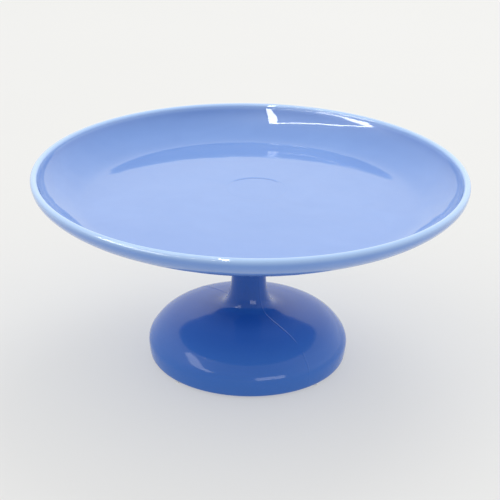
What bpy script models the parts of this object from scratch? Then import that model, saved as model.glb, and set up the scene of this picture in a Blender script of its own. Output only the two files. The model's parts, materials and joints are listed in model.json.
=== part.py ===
"""Round pedestal cake stand in opaque pressed glass, 300 mm across and 140 mm tall.

The stand is two pressings, a dish-shaped plate and a pedestal with a domed foot. One long bolt
comes up through the pedestal from inside the hollow foot and screws into a brass insert that is
cemented into the boss under the plate. Soft washers keep metal and glass apart, and four clear
pads under the foot keep it off the table. Everything is turned about the Z axis, Z is up, and the
stand rests on the plane Z = 0.
"""

import math

import bmesh
import bpy

# Overall size
PLATE_RADIUS = 0.150
OVERALL_HEIGHT = 0.140
GLUE_GAP = 0.0003  # left between pieces that touch or are bonded

# Plate: a flat floor, a wall that sweeps up from it, and a rolled lip
LIP_RADIUS = 0.0024
FLOOR_HEIGHT = 0.1178
FLOOR_RADIUS = 0.112
UNDERSIDE_HEIGHT = 0.1132
UNDERSIDE_RADIUS = 0.104

# Boss under the plate, with a spigot that centres it in the pedestal
BOSS_ROOT_RADIUS = 0.026
BOSS_RADIUS = 0.0170
BOSS_FACE_HEIGHT = 0.1066
SPIGOT_RADIUS = 0.0095
SPIGOT_LENGTH = 0.0046

# Joint between plate and pedestal
GASKET_THICKNESS = 0.0014
PEDESTAL_TOP = BOSS_FACE_HEIGHT - GASKET_THICKNESS - 2 * GLUE_GAP
SOCKET_RADIUS = 0.0101
SOCKET_DEPTH = 0.0050

# Pedestal: waisted neck, then a domed foot that is hollow from below
NECK_TOP_RADIUS = 0.0170
WAIST_RADIUS = 0.0120
WAIST_HEIGHT = 0.0670
FOOT_RADIUS = 0.0710
FOOT_SHOULDER_HEIGHT = 0.0118
FOOT_ROLL = 0.0008  # how far the foot draws in just above and below its shoulder
FOOT_RING_INNER = 0.0625
FOOT_RING_OUTER = 0.0692
BOLT_SEAT_HEIGHT = 0.0240
BOLT_SEAT_RADIUS = 0.0150
EDGE_ROUNDING = 0.0008

# Fastening: an M6 bolt, its two washers and the insert
BOLT_RADIUS = 0.0029
BOLT_HEAD_ACROSS_FLATS = 0.0100
BOLT_HEAD_THICKNESS = 0.0040
BOLT_LENGTH = 0.0900
BOLT_BORE_RADIUS = 0.0036
CUSHION_RADIUS = 0.0105
CUSHION_THICKNESS = 0.0015
WASHER_RADIUS = 0.0090
WASHER_THICKNESS = 0.0016
INSERT_RADIUS = 0.0060
INSERT_LENGTH = 0.0100
INSERT_BORE_RADIUS = 0.0031
INSERT_GROOVE = 0.0007

# Foot pads
PAD_COUNT = 4
PAD_RADIUS = 0.0030
PAD_HEIGHT = 0.0015
PAD_CENTRE_RADIUS = (FOOT_RING_INNER + FOOT_RING_OUTER) / 2
FOOT_BASE_HEIGHT = PAD_HEIGHT + GLUE_GAP

# Facets around the axis
PLATE_SIDES = 64
PEDESTAL_SIDES = 56
SMALL_SIDES = 24
PAD_SIDES = 16

SMOOTH_ANGLE = math.radians(35)
SAME_POINT = 1e-6


def clear_scene():
    """Removes whatever the open scene holds."""
    for old in list(bpy.data.objects):
        bpy.data.objects.remove(old, do_unlink=True)


def surface(name, colour, roughness, metallic=0.0, alpha=1.0):
    """A Principled material of one colour."""
    material = bpy.data.materials.new(name)
    material.use_nodes = True
    shader = material.node_tree.nodes["Principled BSDF"]
    shader.inputs["Base Color"].default_value = (*colour, 1.0)
    shader.inputs["Roughness"].default_value = roughness
    shader.inputs["Metallic"].default_value = metallic
    shader.inputs["Alpha"].default_value = alpha
    return material


def arc(centre, radii, start, stop, steps):
    """Points on an elliptical arc in the radius-height plane, angles in degrees."""
    points = []
    for step in range(steps + 1):
        angle = math.radians(start + (stop - start) * step / steps)
        points.append(
            (
                centre[0] + radii[0] * math.cos(angle),
                centre[1] + radii[1] * math.sin(angle),
            )
        )
    return points


def smooth_line(points, steps):
    """A Catmull-Rom curve through the points, each span cut into steps."""
    padded = [points[0], *points, points[-1]]
    line = []
    for before, here, there, after in zip(padded, padded[1:], padded[2:], padded[3:]):
        for step in range(steps):
            t = step / steps
            line.append(
                tuple(
                    0.5
                    * (
                        2 * b
                        + (c - a) * t
                        + (2 * a - 5 * b + 4 * c - d) * t**2
                        + (3 * b - a - 3 * c + d) * t**3
                    )
                    for a, b, c, d in zip(before, here, there, after)
                )
            )
    return [*line, points[-1]]


def without_repeats(profile):
    """The profile with each point that equals the one before it left out."""
    kept = [profile[0]]
    for point in profile[1:]:
        if math.dist(point, kept[-1]) > SAME_POINT:
            kept.append(point)
    return kept


def add_object(name, shape, material):
    """Turns a bmesh into a named, smooth-shaded object."""
    mesh = bpy.data.meshes.new(name)
    bmesh.ops.recalc_face_normals(shape, faces=shape.faces)
    shape.to_mesh(mesh)
    shape.free()
    mesh.shade_smooth()
    mesh.set_sharp_from_angle(angle=SMOOTH_ANGLE)
    mesh.materials.append(material)
    made = bpy.data.objects.new(name, mesh)
    bpy.context.scene.collection.objects.link(made)
    return made


def turned(name, profile, sides, material, closed=True, height=0.0):
    """Spins a profile of (radius, height) points about Z.

    A closed profile makes a ring. An open one starts and ends on the axis. The heights are
    measured from the world's floor, and height says where the object's own origin goes.
    """
    shape = bmesh.new()
    points = without_repeats(profile)
    if closed and math.dist(points[0], points[-1]) < SAME_POINT:
        points.pop()
    verts = [shape.verts.new((radius, 0, z - height)) for radius, z in points]
    edges = [shape.edges.new(pair) for pair in zip(verts, verts[1:])]
    if closed:
        edges.append(shape.edges.new((verts[-1], verts[0])))
    bmesh.ops.spin(
        shape,
        geom=verts + edges,
        axis=(0, 0, 1),
        cent=(0, 0, 0),
        angle=math.tau,
        steps=sides,
        use_merge=True,
    )
    bmesh.ops.remove_doubles(shape, verts=shape.verts, dist=SAME_POINT)
    made = add_object(name, shape, material)
    made.location.z = height
    return made


def rounded_ring(inner, outer, low, high, rounding):
    """The closed outline of a flat ring with its corners taken off."""
    corners = (
        (outer - rounding, high - rounding, 90),
        (outer - rounding, low + rounding, 0),
        (inner + rounding, low + rounding, -90),
        (inner + rounding, high - rounding, -180),
    )
    outline = []
    for radius, z, start in corners:
        outline += arc((radius, z), (rounding, rounding), start, start - 90, 1)
    return outline


def inside_of_wall(lip_height):
    """The upper face, from the edge of the flat floor up an ever steeper sweep to the lip."""
    return smooth_line(
        [
            (FLOOR_RADIUS, FLOOR_HEIGHT),
            (0.1170, FLOOR_HEIGHT + 0.0003),
            (0.1215, 0.1191),
            (0.1270, 0.1213),
            (0.1340, 0.1250),
            (0.1396, 0.1292),
            (0.1432, 0.1333),
            (PLATE_RADIUS - 2 * LIP_RADIUS, lip_height),
        ],
        2,
    )


def outside_of_wall(lip_height):
    """The lower face, from the lip down to the edge of the flat underside."""
    return smooth_line(
        [
            (PLATE_RADIUS, lip_height),
            (0.1492, 0.1340),
            (0.1462, 0.1299),
            (0.1405, 0.1256),
            (0.1300, 0.1201),
            (0.1200, 0.1155),
            (0.1130, 0.1137),
            (UNDERSIDE_RADIUS, UNDERSIDE_HEIGHT),
        ],
        2,
    )


def plate_profile():
    """From the middle of the floor, over the lip, and back under to the insert's blind hole."""
    lip_height = OVERALL_HEIGHT - LIP_RADIUS
    lip_centre = PLATE_RADIUS - LIP_RADIUS
    hole_radius = INSERT_RADIUS + GLUE_GAP
    spigot_end = BOSS_FACE_HEIGHT - SPIGOT_LENGTH
    hole_end = spigot_end + INSERT_LENGTH + 2 * GLUE_GAP
    profile = [(0, FLOOR_HEIGHT), (FLOOR_RADIUS / 2, FLOOR_HEIGHT)]
    profile += inside_of_wall(lip_height)
    profile += arc((lip_centre, lip_height), (LIP_RADIUS, LIP_RADIUS), 180, 0, 6)
    profile += outside_of_wall(lip_height)
    profile += arc(
        (BOSS_ROOT_RADIUS, BOSS_FACE_HEIGHT + EDGE_ROUNDING),
        (
            BOSS_ROOT_RADIUS - BOSS_RADIUS,
            UNDERSIDE_HEIGHT - BOSS_FACE_HEIGHT - EDGE_ROUNDING,
        ),
        90,
        180,
        4,
    )
    profile += arc(
        (BOSS_RADIUS - EDGE_ROUNDING, BOSS_FACE_HEIGHT + EDGE_ROUNDING),
        (EDGE_ROUNDING, EDGE_ROUNDING),
        0,
        -90,
        2,
    )
    profile += [
        (SPIGOT_RADIUS, BOSS_FACE_HEIGHT),
        (SPIGOT_RADIUS, spigot_end + EDGE_ROUNDING),
        (SPIGOT_RADIUS - EDGE_ROUNDING, spigot_end),
        (hole_radius, spigot_end),
        (hole_radius, hole_end),
        (0, hole_end),
    ]
    return profile


def foot_outline():
    """The outside of neck and foot, from the top face down to the ring that faces the table."""
    return smooth_line(
        [
            (NECK_TOP_RADIUS, PEDESTAL_TOP - 2 * EDGE_ROUNDING),
            (WAIST_RADIUS + 0.0014, PEDESTAL_TOP - 0.0130),
            (WAIST_RADIUS + 0.0002, WAIST_HEIGHT + 0.0100),
            (WAIST_RADIUS, WAIST_HEIGHT),
            (0.0125, 0.0560),
            (0.0142, 0.0457),
            (0.0176, 0.0398),
            (0.0235, 0.0372),
            (0.0350, 0.0354),
            (0.0470, 0.0333),
            (0.0560, 0.0303),
            (0.0630, 0.0257),
            (0.0680, 0.0199),
            (FOOT_RADIUS - FOOT_ROLL, 0.0160),
            (FOOT_RADIUS, FOOT_SHOULDER_HEIGHT),
            (FOOT_RADIUS - FOOT_ROLL, 0.0042),
            (FOOT_RING_OUTER, FOOT_BASE_HEIGHT),
        ],
        2,
    )


def foot_hollow():
    """The inside of the foot, from the table ring up to the flat seat for the washers."""
    return smooth_line(
        [
            (FOOT_RING_INNER, FOOT_BASE_HEIGHT),
            (0.0617, 0.0110),
            (0.0590, 0.0180),
            (0.0530, 0.0242),
            (0.0430, 0.0282),
            (0.0320, 0.0298),
            (0.0230, 0.0280),
            (BOLT_SEAT_RADIUS, BOLT_SEAT_HEIGHT),
        ],
        2,
    )


def pedestal_profile():
    """A closed outline, because the bolt bore runs right through."""
    top_edge = arc(
        (NECK_TOP_RADIUS - EDGE_ROUNDING, PEDESTAL_TOP - EDGE_ROUNDING),
        (EDGE_ROUNDING, EDGE_ROUNDING),
        90,
        0,
        2,
    )
    bore = [
        (BOLT_BORE_RADIUS, BOLT_SEAT_HEIGHT),
        (BOLT_BORE_RADIUS, PEDESTAL_TOP - SOCKET_DEPTH),
        (SOCKET_RADIUS, PEDESTAL_TOP - SOCKET_DEPTH),
        (SOCKET_RADIUS, PEDESTAL_TOP),
    ]
    return top_edge + foot_outline() + foot_hollow() + bore


def make_plate(glass):
    return turned("plate", plate_profile(), PLATE_SIDES, glass, closed=False)


def make_pedestal(glass):
    return turned("pedestal", pedestal_profile(), PEDESTAL_SIDES, glass)


def make_insert(brass):
    """A brass sleeve with a groove around its middle, which the cement keys into."""
    low = BOSS_FACE_HEIGHT - SPIGOT_LENGTH + GLUE_GAP
    high = low + INSERT_LENGTH
    middle = (low + high) / 2
    chamfer = INSERT_GROOVE
    profile = [
        (INSERT_BORE_RADIUS, high),
        (INSERT_RADIUS - chamfer, high),
        (INSERT_RADIUS, high - chamfer),
        (INSERT_RADIUS, middle + 2 * chamfer),
        (INSERT_RADIUS - chamfer, middle + chamfer),
        (INSERT_RADIUS - chamfer, middle - chamfer),
        (INSERT_RADIUS, middle - 2 * chamfer),
        (INSERT_RADIUS, low + chamfer),
        (INSERT_RADIUS - chamfer, low),
        (INSERT_BORE_RADIUS + chamfer, low),
        (INSERT_BORE_RADIUS, low + chamfer),
    ]
    return turned("threaded_insert", profile, SMALL_SIDES, brass)


def make_gasket(silicone):
    """The soft ring that the plate's boss sits on."""
    low = PEDESTAL_TOP + GLUE_GAP
    outline = rounded_ring(
        SOCKET_RADIUS,
        NECK_TOP_RADIUS - EDGE_ROUNDING,
        low,
        low + GASKET_THICKNESS,
        GASKET_THICKNESS / 4,
    )
    return turned("joint_gasket", outline, SMALL_SIDES, silicone)


def make_washers(steel, rubber):
    """The rubber and steel washers between the glass seat and the bolt's head."""
    cushion_low = BOLT_SEAT_HEIGHT - GLUE_GAP - CUSHION_THICKNESS
    washer_low = cushion_low - GLUE_GAP - WASHER_THICKNESS
    rings = (
        ("cushion_washer", CUSHION_RADIUS, cushion_low, CUSHION_THICKNESS, rubber),
        ("flat_washer", WASHER_RADIUS, washer_low, WASHER_THICKNESS, steel),
    )
    for name, radius, low, thickness, material in rings:
        outline = rounded_ring(
            BOLT_BORE_RADIUS, radius, low, low + thickness, thickness / 5
        )
        turned(name, outline, SMALL_SIDES, material, height=low)
    return washer_low - GLUE_GAP


def make_bolt(steel, under_head):
    """A hexagon head whose corners are turned down, and a plain shank with a chamfered tip."""
    head_low = under_head - BOLT_HEAD_THICKNESS
    tip = under_head + BOLT_LENGTH
    corner_radius = BOLT_HEAD_ACROSS_FLATS / 2 / math.cos(math.pi / 6)
    shank = turned(
        "centre_bolt",
        [
            (0, tip),
            (BOLT_RADIUS - 2 * GLUE_GAP, tip),
            (BOLT_RADIUS, tip - BOLT_RADIUS / 3),
            (BOLT_RADIUS, under_head - BOLT_HEAD_THICKNESS / 2),
            (0, under_head - BOLT_HEAD_THICKNESS / 2),
        ],
        SMALL_SIDES,
        steel,
        closed=False,
        height=under_head,
    )
    head = turned(
        "hexagon_stock",
        [(0, under_head), (corner_radius, under_head), (corner_radius, head_low), (0, head_low)],
        6,
        steel,
        closed=False,
        height=under_head,
    )
    turning = turned(
        "head_turning",
        [
            (0, under_head + GLUE_GAP),
            (corner_radius + GLUE_GAP, under_head + GLUE_GAP),
            (corner_radius + GLUE_GAP, head_low + BOLT_HEAD_THICKNESS / 6),
            (BOLT_HEAD_ACROSS_FLATS / 2 - GLUE_GAP, head_low),
            (0, head_low),
        ],
        SMALL_SIDES,
        steel,
        closed=False,
        height=under_head,
    )
    for helper in (head, turning):
        helper.hide_render = True
        helper.display_type = "WIRE"
    chamfer = head.modifiers.new("turned_corners", "BOOLEAN")
    chamfer.operation = "INTERSECT"
    chamfer.object = turning
    join = shank.modifiers.new("head", "BOOLEAN")
    join.operation = "UNION"
    join.object = head
    return shank


def make_pads(silicone):
    """Low domed pads under the ring of the foot."""
    profile = [
        (0, PAD_HEIGHT),
        (PAD_RADIUS, PAD_HEIGHT),
        (PAD_RADIUS, PAD_HEIGHT * 0.6),
        (PAD_RADIUS * 0.94, PAD_HEIGHT * 0.25),
        (PAD_RADIUS * 0.8, 0),
        (0, 0),
    ]
    for number in range(PAD_COUNT):
        angle = math.tau * (number + 0.5) / PAD_COUNT
        pad = turned(
            f"foot_pad_{number + 1}", profile, PAD_SIDES, silicone, closed=False
        )
        pad.location.x = PAD_CENTRE_RADIUS * math.cos(angle)
        pad.location.y = PAD_CENTRE_RADIUS * math.sin(angle)


def main():
    clear_scene()
    blue_glass = surface("blue_glass", (0.05, 0.18, 0.66), 0.06)
    brass = surface("brass", (0.72, 0.49, 0.19), 0.32, metallic=1.0)
    steel = surface("zinc_plated_steel", (0.62, 0.63, 0.65), 0.30, metallic=1.0)
    rubber = surface("black_rubber", (0.03, 0.03, 0.03), 0.80)
    silicone = surface("clear_silicone", (0.86, 0.88, 0.90), 0.35, alpha=0.6)
    make_plate(blue_glass)
    make_pedestal(blue_glass)
    make_insert(brass)
    make_gasket(silicone)
    under_head = make_washers(steel, rubber)
    make_bolt(steel, under_head)
    make_pads(silicone)


main()
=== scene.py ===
"""The finished look of a footed cake stand in blue pressed glass, on a pale studio floor.

Every piece is an outline turned about its own axis, at a much finer pitch than the CAD solid it
stands for. Overall heights and radii come from the CAD boxes. Lengths are metres. The angles named
at the top of a section are degrees, and those that the turning works with are radians.
"""

import json
import math

import bmesh
import bpy
from mathutils import Matrix, Vector, noise


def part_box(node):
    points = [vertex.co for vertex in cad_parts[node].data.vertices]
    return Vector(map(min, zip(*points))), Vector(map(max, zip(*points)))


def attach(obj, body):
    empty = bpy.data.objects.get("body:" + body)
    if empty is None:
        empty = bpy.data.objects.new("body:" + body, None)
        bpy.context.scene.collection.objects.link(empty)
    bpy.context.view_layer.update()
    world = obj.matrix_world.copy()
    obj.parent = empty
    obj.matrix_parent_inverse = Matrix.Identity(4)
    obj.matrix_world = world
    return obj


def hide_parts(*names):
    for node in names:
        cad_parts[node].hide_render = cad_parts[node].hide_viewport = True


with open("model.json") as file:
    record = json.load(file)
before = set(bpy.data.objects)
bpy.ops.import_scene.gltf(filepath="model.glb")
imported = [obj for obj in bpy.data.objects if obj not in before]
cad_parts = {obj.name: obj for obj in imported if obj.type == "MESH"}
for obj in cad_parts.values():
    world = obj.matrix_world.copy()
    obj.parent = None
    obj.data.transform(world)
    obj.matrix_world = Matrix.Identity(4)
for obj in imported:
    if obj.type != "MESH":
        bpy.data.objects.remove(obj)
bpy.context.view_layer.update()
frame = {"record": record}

# Camera: it stands off from a point on the stand's axis, and looks at AIM
VIEW_ELEVATION = 24.95
VIEW_DISTANCE = 1.0
VIEW_CENTRE_HEIGHT = 0.060
AIM = Vector((0.0005, 0.0, 0.0801))
VIEW_ROLL = 1.05
SENSOR_WIDTH_MM = 36.0
FOCAL_LENGTH_MM = 101.6

# Studio
FLOOR_SIZE = 30.0
FLOOR_GLOW = 0.42
STUDIO_WHITE = (1.0, 0.998, 0.985, 1.0)

# A tilted frame of four lamp strips: its corners, then the ends and width of each strip
FRAME_LIGHT_CORNERS = {
    "overhead": Vector((-0.12, 0.02, 1.34)),
    "left": Vector((-1.04, -0.20, 0.68)),
    "low": Vector((-0.80, -1.00, 0.40)),
    "front": Vector((-0.20, -1.08, 0.72)),
}
FRAME_LIGHT_STRIPS = (
    ("overhead", "left", 0.050),
    ("left", "low", 0.170),
    ("low", "front", 0.040),
    ("front", "overhead", 0.060),
)
FRAME_LIGHT_RADIANCE = 22.0

# Two cards: side, place, direction of the length, and length and width
CARD_LIGHTS = (
    ("left", Vector((-0.92, -0.50, 0.66)), Vector((0.28, -0.91, -0.34)), (0.95, 0.20)),
    ("right", Vector((0.55, -1.17, 0.20)), Vector((1.17, 0.55, 0.0)), (0.75, 0.28)),
)
CARD_LIGHT_RADIANCE = 4.0

KEY_LIGHT_PLACE = Vector((0.4, 1.0, 1.7))
KEY_LIGHT_SIZE = 1.0
KEY_LIGHT_RADIANCE = 2.5

# Light from all round, by the height it comes from: 0 is the horizon and 1 is straight above
BRIGHTEST_HEIGHT = 0.45
TOP_HEIGHT = 0.90
HORIZON_LIGHT = 1.10
BRIGHTEST_LIGHT = 1.28
TOP_DROP = 0.20
FRONT_SHARE = 0.56
FRONT_FADE = (-0.9, -0.1)  # from straight in front to the sides
SIDE_LEAN = 0.15
LEAN_HEIGHTS = (0.1, 0.6)  # where the light leans right, and where it leans left

# Fineness of the turned surfaces
PLATE_SIDES = 288
PEDESTAL_SIDES = 240
INSERT_SIDES = 144
RING_SIDES = 96
BOLT_SIDES = 48
PAD_SIDES = 48
SMOOTH_ANGLE = math.radians(35)
SAME_POINT = 1e-7


# ---------------------------------------------------------------- outlines


def arc(centre, radii, start, stop, steps):
    """Points on an elliptical arc in the radius-height plane."""
    points = []
    for step in range(steps + 1):
        angle = math.radians(start + (stop - start) * step / steps)
        points.append(
            (centre[0] + radii[0] * math.cos(angle), centre[1] + radii[1] * math.sin(angle))
        )
    return points


def smooth_line(points, steps):
    """A Catmull-Rom curve through the points, each span cut into steps."""
    padded = [points[0], *points, points[-1]]
    line = []
    for before, here, there, after in zip(padded, padded[1:], padded[2:], padded[3:]):
        for step in range(steps):
            t = step / steps
            line.append(
                tuple(
                    0.5
                    * (
                        2 * b
                        + (c - a) * t
                        + (2 * a - 5 * b + 4 * c - d) * t**2
                        + (3 * b - a - 3 * c + d) * t**3
                    )
                    for a, b, c, d in zip(before, here, there, after)
                )
            )
    return [*line, points[-1]]


def straight(start, stop, steps):
    """A straight run cut into steps, without its first point."""
    run = []
    for step in range(1, steps + 1):
        t = step / steps
        run.append((start[0] + (stop[0] - start[0]) * t, start[1] + (stop[1] - start[1]) * t))
    return run


def rounded_ring(inner, outer, low, high, rounding, steps=6):
    """The closed outline of a flat ring with rounded corners."""
    corners = (
        (outer - rounding, high - rounding, 90),
        (outer - rounding, low + rounding, 0),
        (inner + rounding, low + rounding, -90),
        (inner + rounding, high - rounding, -180),
    )
    outline = []
    for radius, z, start in corners:
        outline += arc((radius, z), (rounding, rounding), start, start - 90, steps)
    return outline


def without_repeats(outline):
    """The outline with each point that equals the one before it left out."""
    kept = [outline[0]]
    for point in outline[1:]:
        if math.dist(point, kept[-1]) > SAME_POINT:
            kept.append(point)
    return kept


# ---------------------------------------------------------------- meshes


def even_azimuths(sides):
    """Azimuths evenly round the axis, in radians."""
    return [math.tau * side / sides for side in range(sides)]


def turned(name, outline, azimuths, closed=True, shape=None):
    """Spins an outline of (radius, height) points about Z.

    A closed outline makes a ring. An open one starts and ends on the axis. shape may move a point:
    it takes the azimuth in radians, radius and height, and gives the new radius and height.
    """
    points = without_repeats(outline)
    if closed and math.dist(points[0], points[-1]) < SAME_POINT:
        points.pop()
    mesh = bmesh.new()
    columns = []
    poles = {}
    for azimuth in azimuths:
        column = []
        for index, (radius, z) in enumerate(points):
            if radius < SAME_POINT:
                if index not in poles:
                    poles[index] = mesh.verts.new((0, 0, z))
                column.append(poles[index])
                continue
            if shape:
                radius, z = shape(azimuth, radius, z)
            column.append(mesh.verts.new((radius * math.cos(azimuth), radius * math.sin(azimuth), z)))
        columns.append(column)
    spans = len(points) if closed else len(points) - 1
    for here, there in zip(columns, columns[1:] + columns[:1]):
        for index in range(spans):
            after = (index + 1) % len(points)
            corners = [here[index], there[index], there[after], here[after]]
            mesh.faces.new(list(dict.fromkeys(corners)))
    return finish_mesh(name, mesh)


def finish_mesh(name, mesh):
    """Turns a bmesh into a smooth-shaded object."""
    bmesh.ops.recalc_face_normals(mesh, faces=mesh.faces)
    data = bpy.data.meshes.new(name)
    mesh.to_mesh(data)
    mesh.free()
    data.shade_smooth()
    data.set_sharp_from_angle(angle=SMOOTH_ANGLE)
    made = bpy.data.objects.new(name, data)
    bpy.context.scene.collection.objects.link(made)
    return made


def install(piece, node, body, material):
    """Puts a finished piece in place of its CAD node."""
    piece.data.materials.append(material)
    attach(piece, body)
    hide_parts(node)


# ---------------------------------------------------------------- material nodes


def set_inputs(tree, node, values):
    """Gives each input a value, or links it to another node's output."""
    for name, value in values.items():
        if isinstance(value, bpy.types.NodeSocket):
            tree.links.new(value, node.inputs[name])
        else:
            node.inputs[name].default_value = value


def add_node(tree, kind, inputs=None, **settings):
    """Adds a shader node, with its settings and with values or links on its inputs."""
    node = tree.nodes.new("ShaderNode" + kind)
    for name, value in settings.items():
        setattr(node, name, value)
    set_inputs(tree, node, inputs or {})
    return node


def new_material(name):
    """A material with its node tree and its Principled shader."""
    material = bpy.data.materials.new(name)
    material.use_nodes = True
    tree = material.node_tree
    return material, tree, tree.nodes["Principled BSDF"]


def object_place(tree, stretch=(1, 1, 1)):
    """Object coordinates in metres, stretched along each axis."""
    place = add_node(tree, "TexCoord").outputs["Object"]
    return add_node(tree, "Mapping", {"Vector": place, "Scale": stretch}).outputs["Vector"]


def place_along(tree, axis):
    """How far a point lies along the object's X, Y or Z, in metres."""
    place = add_node(tree, "TexCoord").outputs["Object"]
    return add_node(tree, "SeparateXYZ", {"Vector": place}).outputs[axis]


def noise_value(tree, place, scale, detail=2.0, roughness=0.5, distortion=0.0):
    """Noise between 0 and 1, with about scale patches to a metre."""
    inputs = {
        "Vector": place,
        "Scale": scale,
        "Detail": detail,
        "Roughness": roughness,
        "Distortion": distortion,
    }
    return add_node(tree, "TexNoise", inputs).outputs["Fac"]


def remap(tree, value, low, high, to_low, to_high, smooth=False):
    """Value between low and high carried over to the range to_low to to_high."""
    inputs = {"Value": value, "From Min": low, "From Max": high, "To Min": to_low, "To Max": to_high}
    kind = "SMOOTHSTEP" if smooth else "LINEAR"
    return add_node(tree, "MapRange", inputs, interpolation_type=kind).outputs["Result"]


def calculate(tree, operation, first, second=0.0):
    """The result of one maths operation on two numbers or sockets."""
    return add_node(tree, "Math", {0: first, 1: second}, operation=operation).outputs["Value"]


def mix_colours(tree, factor, first, second):
    """first where factor is 0, second where it is 1. Each is a colour or a socket."""
    node = tree.nodes.new("ShaderNodeMix")
    node.data_type = "RGBA"
    sockets = {"Factor_Float": factor, "A_Color": first, "B_Color": second}
    for socket in node.inputs:
        value = sockets.get(socket.identifier)
        if value is None:
            continue
        if isinstance(value, bpy.types.NodeSocket):
            tree.links.new(value, socket)
        else:
            socket.default_value = (*value, 1.0) if isinstance(value, tuple) else value
    return next(out for out in node.outputs if out.identifier == "Result_Color")


def bump(tree, height, distance, normal=None):
    """A bump whose height of 1 stands distance metres proud."""
    inputs = {"Height": height, "Distance": distance, "Strength": 1.0}
    if normal:
        inputs["Normal"] = normal
    return add_node(tree, "Bump", inputs).outputs["Normal"]


def distance_from(tree, centre):
    """Distance in the XY plane from a point, in metres."""
    place = add_node(tree, "TexCoord").outputs["Object"]
    offset = add_node(tree, "VectorMath", {0: place, 1: (*centre, 0.0)}, operation="SUBTRACT")
    across = {0: offset.outputs["Vector"], 1: (1, 1, 0)}
    flat = add_node(tree, "VectorMath", across, operation="MULTIPLY")
    length = add_node(tree, "VectorMath", {0: flat.outputs["Vector"]}, operation="LENGTH")
    return length.outputs["Value"]


# ---------------------------------------------------------------- pressed glass

# Deep, middle and edge tints of one glass: a lit copy for the plate, and a darker copy for the
# pedestal, which is painted shade from the plate above it. The edge tints are painted light too: a
# painted highlight along the top of the plate's lip, and the pedestal's dome paler than its neck.
PLATE_BLUES_PAINTED_LIT = ((0.148, 0.290, 0.675), (0.164, 0.314, 0.710), (0.480, 0.680, 0.980))
PEDESTAL_BLUES_PAINTED_SHADE = ((0.012, 0.090, 0.390), (0.018, 0.108, 0.440), (0.050, 0.170, 0.555))

# How much of the broad sheen under the skin shows, then the skin's index and least and most haze
PLATE_GLOSS = (0.30, 1.45, 0.025, 0.09)
PEDESTAL_GLOSS = (0.0, 1.36, 0.085, 0.34)

# How far the painted light carries the tint towards the edge tint.
PAINTED_LIGHT_REACH = 0.8  # how far the tint goes towards the edge tint
SWELL_HEIGHT = 0.00007  # of the broad swell in the skin
GRAIN_HEIGHT = 0.0000006

# The faint ring on the plate's floor, off centre to the back
MARK_CENTRE = (0.004, 0.022)
MARK_RADIUS = 0.021
MARK_HALF_WIDTH = 0.0013
MARK_DEPTH = 0.00030
MARK_DEPTH_IN_FRONT = 0.18  # as a share of the depth at the back


def glass_colour(tree, blues, painted_light_paling):
    """Cords and clouds of two tints, turning along the glass to a third, paler tint that is painted
    light.
    """
    deep_blue, middle_blue, painted_light_blue = blues
    cords = noise_value(tree, object_place(tree, (1, 1, 2.5)), 22.0, detail=3.0, distortion=1.4)
    clouds = noise_value(tree, object_place(tree), 9.0, detail=2.0)
    tone = calculate(tree, "MULTIPLY", cords, clouds)
    body = mix_colours(tree, remap(tree, tone, 0.12, 0.42, 0, 1), deep_blue, middle_blue)
    along, start, stop = painted_light_paling
    reach = distance_from(tree, (0, 0)) if along == "radius" else place_along(tree, "Z")
    # Painted light: the tint pales towards the edge tint on the plate's lip and out on the pedestal's
    # dome.
    pale = remap(tree, reach, start, stop, 0, PAINTED_LIGHT_REACH, smooth=True)
    return mix_colours(tree, pale, body, painted_light_blue)


def glass_material(name, blues, painted_light_paling, gloss, mark=None):
    """Opaque pressed glass: a fire-polished skin over a softly scattering body.

    Its third argument says along what the tint turns paler as painted light, "height" or "radius",
    and between which two values. mark is the least height of the glass that has the plunger's ring on
    it.
    """
    sheen, skin_index, least_haze, most_haze = gloss
    material, tree, shader = new_material(name)
    colour = glass_colour(tree, blues, painted_light_paling)
    place = object_place(tree)
    swell = noise_value(tree, place, 55.0, detail=1.0)
    grain = noise_value(tree, place, 900.0, detail=2.0)
    skin = bump(tree, swell, SWELL_HEIGHT)
    skin = bump(tree, grain, GRAIN_HEIGHT, skin)
    if mark:
        skin = ring_mark(tree, skin, mark)
    handling = noise_value(tree, place, 30.0, detail=6.0, roughness=0.7)
    drawn_out = object_place(tree, (1, 14, 1))
    scratches = noise_value(tree, drawn_out, 420.0, detail=2.0, distortion=0.6)
    worn = calculate(tree, "MULTIPLY", handling, remap(tree, scratches, 0.60, 0.75, 0, 1))
    set_inputs(
        tree,
        shader,
        {
            "Base Color": colour,
            "Roughness": remap(tree, handling, 0.3, 0.7, 0.36, 0.46),
            "IOR": 1.5,
            "Specular IOR Level": sheen,
            "Coat Weight": 1.0,
            "Coat IOR": skin_index,
            "Coat Roughness": remap(tree, worn, 0.0, 0.5, least_haze, most_haze),
            "Normal": skin,
            "Coat Normal": skin,
        },
    )
    return material


def ring_mark(tree, normal, lowest):
    """A faint crease in a ring, deepest at the back, where the hot glass first met the plunger.

    Only glass above the height lowest has it, so the underside stays plain.
    """
    off_ring = calculate(tree, "SUBTRACT", distance_from(tree, MARK_CENTRE), MARK_RADIUS)
    near = calculate(tree, "ABSOLUTE", off_ring)
    crease = remap(tree, near, 0.0, MARK_HALF_WIDTH, 1.0, 0.0, smooth=True)
    back = MARK_CENTRE[1] + MARK_RADIUS
    shallow = MARK_CENTRE[1] + 0.4 * MARK_RADIUS
    behind = place_along(tree, "Y")
    depth = remap(tree, behind, shallow, back, MARK_DEPTH_IN_FRONT, 1.0, smooth=True)
    on_top = calculate(tree, "GREATER_THAN", place_along(tree, "Z"), lowest)
    crease = calculate(tree, "MULTIPLY", calculate(tree, "MULTIPLY", crease, depth), on_top)
    return bump(tree, crease, -MARK_DEPTH, normal)


# ---------------------------------------------------------------- metal, rubber, silicone


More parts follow.
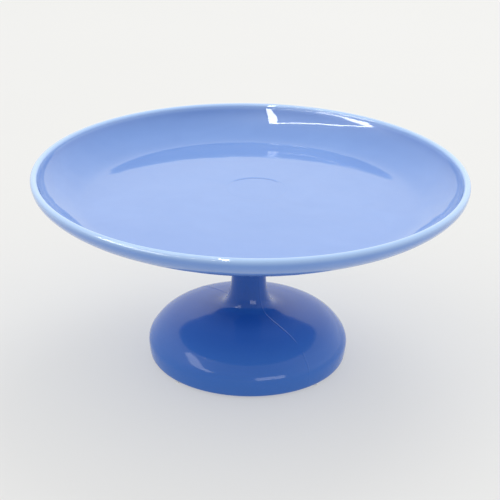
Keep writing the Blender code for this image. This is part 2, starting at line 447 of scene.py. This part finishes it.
def zinc_material():
    """Zinc-plated steel with a fine turned grain and dull patches."""
    material, tree, shader = new_material("zinc_plated_steel_finish")
    grain = noise_value(tree, object_place(tree, (1, 1, 30)), 500.0, detail=3.0)
    patches = noise_value(tree, object_place(tree), 260.0, detail=4.0, distortion=0.8)
    shine = remap(tree, patches, 0.35, 0.65, 0, 1)
    colour = mix_colours(tree, shine, (0.50, 0.51, 0.53), (0.68, 0.69, 0.70))
    set_inputs(
        tree,
        shader,
        {
            "Base Color": colour,
            "Metallic": 1.0,
            "Roughness": remap(tree, patches, 0.3, 0.7, 0.22, 0.42),
            "Normal": bump(tree, grain, 0.000006),
        },
    )
    return material


def brass_material():
    """Turned brass, a little tarnished in the hollows."""
    material, tree, shader = new_material("brass_finish")
    tarnish = noise_value(tree, object_place(tree), 320.0, detail=4.0)
    grain = noise_value(tree, object_place(tree, (1, 1, 24)), 700.0)
    dulled = remap(tree, tarnish, 0.35, 0.7, 0, 1)
    colour = mix_colours(tree, dulled, (0.78, 0.55, 0.22), (0.52, 0.34, 0.13))
    set_inputs(
        tree,
        shader,
        {
            "Base Color": colour,
            "Metallic": 1.0,
            "Roughness": remap(tree, tarnish, 0.3, 0.7, 0.24, 0.45),
            "Normal": bump(tree, grain, 0.000008),
        },
    )
    return material


def rubber_material():
    """Black rubber with a dusty bloom."""
    material, tree, shader = new_material("black_rubber_finish")
    bloom = noise_value(tree, object_place(tree), 380.0, detail=5.0, roughness=0.65)
    pores = noise_value(tree, object_place(tree), 2600.0, detail=1.0)
    dusty = remap(tree, bloom, 0.4, 0.75, 0, 1)
    colour = mix_colours(tree, dusty, (0.018, 0.018, 0.019), (0.062, 0.060, 0.058))
    set_inputs(
        tree,
        shader,
        {
            "Base Color": colour,
            "Roughness": remap(tree, bloom, 0.3, 0.7, 0.62, 0.85),
            "Normal": bump(tree, pores, 0.00002),
        },
    )
    return material


def silicone_material():
    """Clear silicone, faintly milky, with trapped haze."""
    material, tree, shader = new_material("clear_silicone_finish")
    haze = noise_value(tree, object_place(tree), 520.0, detail=3.0)
    colour = mix_colours(tree, haze, (0.80, 0.84, 0.88), (0.93, 0.95, 0.96))
    set_inputs(
        tree,
        shader,
        {
            "Base Color": colour,
            "Roughness": remap(tree, haze, 0.3, 0.7, 0.22, 0.40),
            "IOR": 1.41,
            "Transmission Weight": 0.55,
            "Normal": bump(tree, haze, 0.00002),
        },
    )
    return material


# ---------------------------------------------------------------- plate

PLATE_LOW, PLATE_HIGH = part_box("plate")
PLATE_RADIUS = PLATE_HIGH.x
LIP_RADIUS = 0.0024
LIP_HEIGHT = PLATE_HIGH.z - LIP_RADIUS
SEAT = next(mount for mount in frame["record"]["mounts"] if mount["name"] == "cake_seat")
PLATE_FLOOR = SEAT["pos_m"][2]
FLOOR_RADIUS = 0.112
UNDERSIDE_RADIUS = 0.104
UNDERSIDE_HEIGHT = PLATE_FLOOR - 0.0046
BOSS_ROOT_RADIUS = 0.026
BOSS_RADIUS = 0.017
SPIGOT_RADIUS = 0.0095
SPIGOT_LENGTH = 0.0046
EDGE_ROUNDING = 0.0008
GLUE_GAP = 0.0003
INSERT_LOW, INSERT_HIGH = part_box("threaded_insert")
RIPPLES = ((0.00012, 0.021), (0.00010, 0.0095))  # height and spacing


def wall_ripple(azimuth, radius, z):
    """The wall sagged a little as the plunger left it, so it carries slow ripples."""
    if z > LIP_HEIGHT - LIP_RADIUS or z < PLATE_FLOOR:
        return radius, z
    rise = min(max((radius - FLOOR_RADIUS) / (PLATE_RADIUS - FLOOR_RADIUS), 0.0), 1.0)
    fade = rise * (1 - rise) * 4
    place = Vector((math.cos(azimuth) * radius, math.sin(azimuth) * radius, z))
    for height, spacing in RIPPLES:
        z += height * fade * noise.noise(place / spacing)
    return radius, z


def inside_of_wall():
    """The upper face, from the edge of the flat floor up an ever steeper sweep to the lip."""
    return smooth_line(
        [
            (FLOOR_RADIUS, PLATE_FLOOR),
            (0.1170, PLATE_FLOOR + 0.0003),
            (0.1215, PLATE_FLOOR + 0.0013),
            (0.1270, PLATE_FLOOR + 0.0035),
            (0.1340, PLATE_FLOOR + 0.0072),
            (0.1396, PLATE_FLOOR + 0.0114),
            (0.1432, PLATE_FLOOR + 0.0155),
            (PLATE_RADIUS - 2 * LIP_RADIUS, LIP_HEIGHT),
        ],
        4,
    )


def outside_of_wall():
    """The lower face, from the lip down to the edge of the flat underside."""
    return smooth_line(
        [
            (PLATE_RADIUS, LIP_HEIGHT),
            (0.1492, LIP_HEIGHT - 0.0036),
            (0.1462, LIP_HEIGHT - 0.0077),
            (0.1405, LIP_HEIGHT - 0.0120),
            (0.1300, LIP_HEIGHT - 0.0175),
            (0.1200, LIP_HEIGHT - 0.0221),
            (0.1130, LIP_HEIGHT - 0.0239),
            (UNDERSIDE_RADIUS, UNDERSIDE_HEIGHT),
        ],
        4,
    )


def boss_outline():
    """From the flat underside down the boss and its spigot, and into the insert's blind hole."""
    boss_face = PLATE_LOW.z + SPIGOT_LENGTH
    hole_radius = INSERT_HIGH.x + GLUE_GAP
    hole_end = INSERT_HIGH.z + GLUE_GAP
    outline = arc(
        (BOSS_ROOT_RADIUS, boss_face + EDGE_ROUNDING),
        (BOSS_ROOT_RADIUS - BOSS_RADIUS, UNDERSIDE_HEIGHT - boss_face - EDGE_ROUNDING),
        90,
        180,
        12,
    )
    outline += arc(
        (BOSS_RADIUS - EDGE_ROUNDING, boss_face + EDGE_ROUNDING),
        (EDGE_ROUNDING, EDGE_ROUNDING),
        0,
        -90,
        5,
    )
    outline += [(SPIGOT_RADIUS, boss_face)]
    outline += arc(
        (SPIGOT_RADIUS - EDGE_ROUNDING, PLATE_LOW.z + EDGE_ROUNDING),
        (EDGE_ROUNDING, EDGE_ROUNDING),
        0,
        -90,
        5,
    )
    outline += [(hole_radius, PLATE_LOW.z), (hole_radius, hole_end), (0, hole_end)]
    return outline


def plate_outline():
    """From the middle of the floor, over the lip, and back under to the middle of the blind hole."""
    lip_centre = (PLATE_RADIUS - LIP_RADIUS, LIP_HEIGHT)
    underside_edge = (UNDERSIDE_RADIUS, UNDERSIDE_HEIGHT)
    outline = [(0, PLATE_FLOOR)]
    outline += straight((0, PLATE_FLOOR), (FLOOR_RADIUS, PLATE_FLOOR), 28)
    outline += inside_of_wall()
    outline += arc(lip_centre, (LIP_RADIUS, LIP_RADIUS), 180, 0, 16)
    outline += outside_of_wall()
    outline += straight(underside_edge, (BOSS_ROOT_RADIUS, UNDERSIDE_HEIGHT), 16)
    outline += boss_outline()
    return outline


def make_plate():
    """The dish, in the lit copy of the glass, with a painted highlight paling the top of its lip, and
    with the plunger's ring on its floor.
    """
    azimuths = even_azimuths(PLATE_SIDES)
    plate = turned("glass_plate", plate_outline(), azimuths, closed=False, shape=wall_ripple)
    painted_light_paling = ("height", LIP_HEIGHT - LIP_RADIUS, PLATE_HIGH.z)
    mark = PLATE_FLOOR - GLUE_GAP
    glass = glass_material("blue_glass_plate_painted_lit", PLATE_BLUES_PAINTED_LIT, painted_light_paling, PLATE_GLOSS, mark)
    install(plate, "plate", "plate_body", glass)
    return plate


# ---------------------------------------------------------------- pedestal

PEDESTAL_LOW, PEDESTAL_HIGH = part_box("pedestal")
PEDESTAL_TOP = PEDESTAL_HIGH.z
FOOT_BASE = PEDESTAL_LOW.z
FOOT_RADIUS = PEDESTAL_HIGH.x
FOOT_RING_INNER = 0.0625
FOOT_RING_OUTER = 0.0692
FOOT_SHOULDER_HEIGHT = 0.0118
FOOT_ROLL = 0.0008  # how far the foot draws in just above and below its shoulder
NECK_TOP_RADIUS = 0.0170
WAIST_RADIUS = 0.0120
SOCKET_RADIUS = 0.0101
SOCKET_DEPTH = 0.0050
BOLT_BORE_RADIUS = 0.0036
BOLT_SEAT_RADIUS = 0.0150
BOLT_SEAT_HEIGHT = 0.0240
HOLLOW_TOP = 0.0300
# Painted shade: the pedestal's tint is deepest within the first radius, on the neck under the plate.
# By the second radius, out on the dome, it pales to its edge tint.
NECK_PAINTED_SHADE_RADIUS = 0.014
DOME_PAINTED_LIGHT_RADIUS = 0.045

# The two halves of the pedestal's mould meet at these azimuths and leave a ridge there
SEAM_AZIMUTHS = (-53.0, 127.0)
SEAM_HEIGHT = 0.00018
SEAM_WIDTH = 0.00045
SEAM_OUTWARD = 0.6  # share of its height that the ridge stands outward
SEAM_UPWARD = 0.8  # and upward, where the dome faces up
DOME_START_RADIUS = 0.018
SEAM_STEPS = (0.0, 0.12, 0.25, 0.40, 0.60, 0.90, 1.40, 2.00)  # degrees to either side


def foot_outline():
    """The outside of neck and foot, from the top face down to the ring that faces the table."""
    return smooth_line(
        [
            (NECK_TOP_RADIUS, PEDESTAL_TOP - 2 * EDGE_ROUNDING),
            (WAIST_RADIUS + 0.0014, PEDESTAL_TOP - 0.0130),
            (WAIST_RADIUS + 0.0002, 0.0770),
            (WAIST_RADIUS, 0.0670),
            (0.0125, 0.0560),
            (0.0142, 0.0457),
            (0.0176, 0.0398),
            (0.0235, 0.0372),
            (0.0350, 0.0354),
            (0.0470, 0.0333),
            (0.0560, 0.0303),
            (0.0630, 0.0257),
            (0.0680, 0.0199),
            (FOOT_RADIUS - FOOT_ROLL, 0.0160),
            (FOOT_RADIUS, FOOT_SHOULDER_HEIGHT),
            (FOOT_RADIUS - FOOT_ROLL, 0.0042),
            (FOOT_RING_OUTER, FOOT_BASE),
        ],
        6,
    )


def foot_hollow():
    """The inside of the foot, from the table ring up to the flat seat for the washers."""
    return smooth_line(
        [
            (FOOT_RING_INNER, FOOT_BASE),
            (0.0617, 0.0110),
            (0.0590, 0.0180),
            (0.0530, 0.0242),
            (0.0430, 0.0282),
            (0.0320, 0.0298),
            (0.0230, 0.0280),
            (BOLT_SEAT_RADIUS, BOLT_SEAT_HEIGHT),
        ],
        5,
    )


def pedestal_outline():
    """A closed outline, because the bolt bore runs right through."""
    top_edge = arc(
        (NECK_TOP_RADIUS - EDGE_ROUNDING, PEDESTAL_TOP - EDGE_ROUNDING),
        (EDGE_ROUNDING, EDGE_ROUNDING),
        90,
        0,
        5,
    )
    bore = [(BOLT_BORE_RADIUS, BOLT_SEAT_HEIGHT)]
    bore += straight(bore[0], (BOLT_BORE_RADIUS, PEDESTAL_TOP - SOCKET_DEPTH), 12)
    bore += [(SOCKET_RADIUS, PEDESTAL_TOP - SOCKET_DEPTH), (SOCKET_RADIUS, PEDESTAL_TOP)]
    return top_edge + foot_outline() + foot_hollow() + bore


def seam_azimuths():
    """Even azimuths in radians, with narrow extra ones beside each mould seam."""
    azimuths = set(even_azimuths(PEDESTAL_SIDES))
    step = math.tau / PEDESTAL_SIDES
    for seam in SEAM_AZIMUTHS:
        middle = math.radians(seam) % math.tau
        azimuths = {azimuth for azimuth in azimuths if abs(azimuth - middle) > 1.3 * step}
        for offset in SEAM_STEPS:
            azimuths.add(middle + math.radians(offset))
            azimuths.add(middle - math.radians(offset))
    return sorted(azimuths)


def seam_ridge(azimuth, radius, z):
    """Lifts the outside of neck and foot along the two mould seams."""
    in_hollow = z < HOLLOW_TOP and radius < FOOT_RING_INNER
    in_bore = radius < WAIST_RADIUS - EDGE_ROUNDING
    if in_hollow or in_bore or z < FOOT_BASE + EDGE_ROUNDING:
        return radius, z
    lift = 0.0
    for seam in SEAM_AZIMUTHS:
        turn = (azimuth - math.radians(seam) + math.pi) % math.tau - math.pi
        lift += SEAM_HEIGHT * math.exp(-((radius * turn / SEAM_WIDTH) ** 2))
    rise = lift * SEAM_UPWARD if radius > DOME_START_RADIUS else 0.0
    return radius + lift * SEAM_OUTWARD, z + rise


def make_pedestal():
    """Neck and foot in one pressing, in the darker copy of the glass that paints the plate's shade,
    deepest on the neck and paler out on the dome.
    """
    pedestal = turned("glass_pedestal", pedestal_outline(), seam_azimuths(), shape=seam_ridge)
    painted_light_paling = ("radius", NECK_PAINTED_SHADE_RADIUS, DOME_PAINTED_LIGHT_RADIUS)
    glass = glass_material("blue_glass_pedestal_painted_shade", PEDESTAL_BLUES_PAINTED_SHADE, painted_light_paling, PEDESTAL_GLOSS)
    install(pedestal, "pedestal", "base", glass)
    return pedestal


# ---------------------------------------------------------------- fastening

THREAD_PITCH = 0.001
THREAD_DEPTH = 0.00045
CREST_END = 0.096  # where the flank starts, as a share of half a pitch from the crest's middle
ROOT_START = 0.896  # and where it ends

BOLT_RADIUS = 0.0029
BOLT_THREAD_LENGTH = 0.026
HEAD_THICKNESS = 0.0040
HEAD_ACROSS_FLATS = 0.0100
HEAD_CORNER_RADIUS = HEAD_ACROSS_FLATS / 2 / math.cos(math.pi / 6)
HEAD_DISH = 0.0004

INSERT_BORE_RADIUS = 0.0031
INSERT_GROOVE = 0.0007
KNURL_COUNT = 36
KNURL_SLANT = 2400.0  # radians of turn for each metre of height
KNURL_DEPTH = 0.00012


def thread_shape(crest, low, high, outward):
    """Cuts a right-hand screw thread into the cylinder wall at the crest's radius.

    outward is 1 for a thread on the outside of a bolt, and -1 for one inside a sleeve.
    """

    def shape(azimuth, radius, z):
        if abs(radius - crest) > SAME_POINT or not low < z < high:
            return radius, z
        turn = (z / THREAD_PITCH - azimuth / math.tau) % 1.0
        from_crest = abs(2 * turn - 1)
        runout = min(1.0, (z - low) / THREAD_PITCH, (high - z) / THREAD_PITCH)
        share = min(1.0, max(0.0, (from_crest - CREST_END) / (ROOT_START - CREST_END)))
        return radius - outward * THREAD_DEPTH * runout * share, z

    return shape


def hexagon_head(azimuth, radius, z):
    """Trims the head's round outline to a hexagon."""
    if radius <= BOLT_RADIUS + SAME_POINT:
        return radius, z
    facet = (azimuth % (math.pi / 3)) - math.pi / 6
    return min(radius, HEAD_ACROSS_FLATS / 2 / math.cos(facet)), z


def make_bolt(steel):
    """A hexagon head with turned corners, a plain shank and a threaded end."""
    low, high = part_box("centre_bolt")
    under_head = low.z + HEAD_THICKNESS
    thread_high = high.z - BOLT_RADIUS / 3
    thread_low = high.z - BOLT_THREAD_LENGTH
    thread = thread_shape(BOLT_RADIUS, thread_low, thread_high, 1)

    def shape(azimuth, radius, z):
        part = hexagon_head if z <= under_head else thread
        return part(azimuth, radius, z)

    outline = [
        (0, low.z + HEAD_DISH),
        (HEAD_ACROSS_FLATS * 0.34, low.z + HEAD_DISH),
        (HEAD_ACROSS_FLATS * 0.38, low.z),
        (HEAD_ACROSS_FLATS * 0.47, low.z),
        (HEAD_CORNER_RADIUS, low.z + HEAD_THICKNESS / 6),
        (HEAD_CORNER_RADIUS, under_head - HEAD_THICKNESS / 8),
        (HEAD_ACROSS_FLATS * 0.49, under_head),
        (BOLT_RADIUS, under_head),
    ]
    outline += straight((BOLT_RADIUS, under_head), (BOLT_RADIUS, thread_low), 10)
    rows = int((thread_high - thread_low) / THREAD_PITCH * 10)
    outline += straight((BOLT_RADIUS, thread_low), (BOLT_RADIUS, thread_high), rows)
    outline += [(BOLT_RADIUS - 2 * GLUE_GAP, high.z), (0, high.z)]
    bolt = turned("centre_bolt_M6", outline, even_azimuths(BOLT_SIDES), closed=False, shape=shape)
    install(bolt, "centre_bolt", "bolt", steel)


def make_insert(brass):
    """A brass sleeve, knurled outside and threaded inside."""
    low, high = INSERT_LOW.z, INSERT_HIGH.z
    outer = INSERT_HIGH.x
    bore = INSERT_BORE_RADIUS
    groove = INSERT_GROOVE
    middle = (low + high) / 2
    thread = thread_shape(bore, low + groove, high, -1)

    def shape(azimuth, radius, z):
        if abs(radius - outer) < SAME_POINT:
            ridges = math.cos(azimuth * KNURL_COUNT + (z - low) * KNURL_SLANT)
            return radius - KNURL_DEPTH * (1 - ridges), z
        return thread(azimuth, radius, z)

    outline = [(bore, high), (outer - groove, high)]
    outline += straight((outer, high - groove), (outer, middle + 2 * groove), 8)
    outline += [(outer - groove, middle + groove), (outer - groove, middle - groove)]
    outline += straight((outer, middle - 2 * groove), (outer, low + groove), 8)
    outline += [(outer - groove, low), (bore + groove, low), (bore, low + groove)]
    rows = int((high - low - groove) / THREAD_PITCH * 8)
    outline += straight((bore, low + groove), (bore, high), rows)
    insert = turned("threaded_insert_brass", outline, even_azimuths(INSERT_SIDES), shape=shape)
    install(insert, "threaded_insert", "plate_body", brass)


def make_rings(steel, rubber, silicone):
    """Gasket and washers, each with the edges of its own way of making."""
    bore = BOLT_BORE_RADIUS
    rings = (
        ("joint_gasket", "gasket_ring", "base", "clear_silicone", silicone, SOCKET_RADIUS, 0.30),
        ("cushion_washer", "rubber_cushion", "washers", "black_rubber", rubber, bore, 0.30),
        ("flat_washer", "steel_washer", "washers", "zinc_plated_steel", steel, bore, 0.18),
    )
    for node, name, body, slot, material, inner, rounding_share in rings:
        low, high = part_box(node)
        rounding = (high.z - low.z) * rounding_share
        outline = rounded_ring(inner, high.x, low.z, high.z, rounding)
        ring = turned(name, outline, even_azimuths(RING_SIDES))
        install(ring, node, body, material)


def make_pads(silicone):
    """Domed bumpers whose feet are pressed flat on the table."""
    for number in range(1, 5):
        node = f"foot_pad_{number}"
        low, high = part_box(node)
        radius = (high.x - low.x) / 2
        outline = [(0, high.z), (radius * 0.97, high.z)]
        outline += arc((radius * 0.97, high.z * 0.93), (radius * 0.03, high.z * 0.07), 90, 0, 3)
        outline += arc((radius * 0.78, high.z * 0.60), (radius * 0.22, high.z * 0.60), 0, -90, 10)
        outline += [(0, low.z)]
        pad = turned(f"silicone_pad_{number}", outline, even_azimuths(PAD_SIDES), closed=False)
        middle = (low + high) / 2
        pad.location = (middle.x, middle.y, 0)
        install(pad, node, "base", silicone)


# ---------------------------------------------------------------- studio


def make_floor():
    """A pale floor that glows a little, which keeps shadows soft. It is not part of the object."""
    mesh = bmesh.new()
    half = FLOOR_SIZE / 2
    corners = ((-half, -half), (half, -half), (half, half), (-half, half))
    mesh.faces.new([mesh.verts.new((x, y, 0)) for x, y in corners])
    floor = finish_mesh("studio_floor", mesh)
    material, tree, shader = new_material("studio_floor_finish")
    mottle = noise_value(tree, object_place(tree), 3.0, detail=3.0)
    colour = mix_colours(tree, mottle, (0.362, 0.362, 0.356), (0.378, 0.378, 0.372))
    set_inputs(
        tree,
        shader,
        {
            "Base Color": colour,
            "Roughness": 0.9,
            "Specular IOR Level": 0.1,
            "Emission Color": STUDIO_WHITE,
            "Emission Strength": FLOOR_GLOW,
        },
    )
    clear = add_node(tree, "BsdfTransparent").outputs["BSDF"]
    from_below = add_node(tree, "NewGeometry").outputs["Backfacing"]
    one_way = add_node(tree, "MixShader", {0: from_below, 1: shader.outputs["BSDF"], 2: clear})
    set_inputs(tree, tree.nodes["Material Output"], {"Surface": one_way.outputs["Shader"]})
    floor.data.materials.append(material)


def make_world():
    """Soft light from all round, brightest part of the way up and dimmer in front.

    It is a little brighter on the right near the floor, and on the left higher up.
    """
    world = bpy.data.worlds.new("studio")
    bpy.context.scene.world = world
    world.use_nodes = True
    tree = world.node_tree
    direction = add_node(tree, "TexCoord").outputs["Generated"]
    axes = add_node(tree, "SeparateXYZ", {"Vector": direction}).outputs
    up = axes["Z"]
    rise = remap(tree, up, 0.0, BRIGHTEST_HEIGHT, HORIZON_LIGHT, BRIGHTEST_LIGHT, smooth=True)
    fall = remap(tree, up, BRIGHTEST_HEIGHT, TOP_HEIGHT, 0.0, -TOP_DROP, smooth=True)
    sky = calculate(tree, "ADD", rise, fall)
    in_front = remap(tree, axes["Y"], *FRONT_FADE, FRONT_SHARE, 1.0, smooth=True)
    lean = remap(tree, up, *LEAN_HEIGHTS, SIDE_LEAN, -SIDE_LEAN)
    side = calculate(tree, "ADD", calculate(tree, "MULTIPLY", axes["X"], lean), 1.0)
    strength = calculate(tree, "MULTIPLY", calculate(tree, "MULTIPLY", sky, in_front), side)
    light = {"Color": STUDIO_WHITE, "Strength": strength}
    set_inputs(tree, tree.nodes["Background"], light)


def add_lamp(name, place, along, size, radiance, only_on=None):
    """A flat lamp that faces the stand, with its length along a direction. No camera sees it.

    only_on is the one piece in whose gloss it shows. Without it the lamp lights everything matt.
    """
    length, width = size
    lamp = bpy.data.lights.new(name, "AREA")
    lamp.shape = "RECTANGLE"
    lamp.size = length
    lamp.size_y = width
    lamp.energy = radiance * math.pi * length * width
    holder = bpy.data.objects.new(name, lamp)
    x_axis = along.normalized()
    z_axis = (place - x_axis * place.dot(x_axis)).normalized()
    turn = Matrix((x_axis, z_axis.cross(x_axis), z_axis)).transposed().to_4x4()
    holder.matrix_world = Matrix.Translation(place) @ turn
    holder.visible_camera = False
    if only_on:
        holder.visible_diffuse = False
        lit = bpy.data.collections.new("lit_by_" + name)
        lit.objects.link(only_on)
        holder.light_linking.receiver_collection = lit
    else:
        holder.visible_glossy = False
    bpy.context.scene.collection.objects.link(holder)


def make_lamps(plate, pedestal):
    """A tilted lamp frame for the plate's gloss, cards for the pedestal's, and a key light behind.

    The key light stands to the right, so it lays a soft shadow to the left.
    """
    for first, second, width in FRAME_LIGHT_STRIPS:
        start, stop = FRAME_LIGHT_CORNERS[first], FRAME_LIGHT_CORNERS[second]
        along = stop - start
        middle = (start + stop) / 2
        size = (along.length, width)
        name = f"frame_light_{first}_{second}"
        add_lamp(name, middle, along, size, FRAME_LIGHT_RADIANCE, plate)
    for side, place, along, size in CARD_LIGHTS:
        add_lamp(f"card_light_{side}", place, along, size, CARD_LIGHT_RADIANCE, pedestal)
    sideways = Vector((0, 0, 1)).cross(KEY_LIGHT_PLACE)
    size = (KEY_LIGHT_SIZE, KEY_LIGHT_SIZE)
    add_lamp("key_light", KEY_LIGHT_PLACE, sideways, size, KEY_LIGHT_RADIANCE)


def make_camera():
    """Looks down on the stand from in front, turned a little about its own axis."""
    camera = bpy.data.cameras.new("camera")
    camera.sensor_width = SENSOR_WIDTH_MM
    camera.lens = FOCAL_LENGTH_MM
    holder = bpy.data.objects.new("camera", camera)
    bpy.context.scene.collection.objects.link(holder)
    elevation = math.radians(VIEW_ELEVATION)
    front = -VIEW_DISTANCE * math.cos(elevation)
    height = VIEW_CENTRE_HEIGHT + VIEW_DISTANCE * math.sin(elevation)
    eye = Vector((0, front, height))
    facing = (AIM - eye).to_track_quat("-Z", "Y").to_matrix().to_4x4()
    roll = Matrix.Rotation(math.radians(VIEW_ROLL), 4, "Z")
    holder.matrix_world = Matrix.Translation(eye) @ facing @ roll
    bpy.context.scene.camera = holder
    bpy.context.scene.view_settings.view_transform = "Standard"


# ---------------------------------------------------------------- the scene


def main():
    steel = zinc_material()
    rubber = rubber_material()
    silicone = silicone_material()
    plate = make_plate()
    pedestal = make_pedestal()
    make_insert(brass_material())
    make_rings(steel, rubber, silicone)
    make_bolt(steel)
    make_pads(silicone)
    make_floor()
    make_world()
    make_lamps(plate, pedestal)
    make_camera()


main()
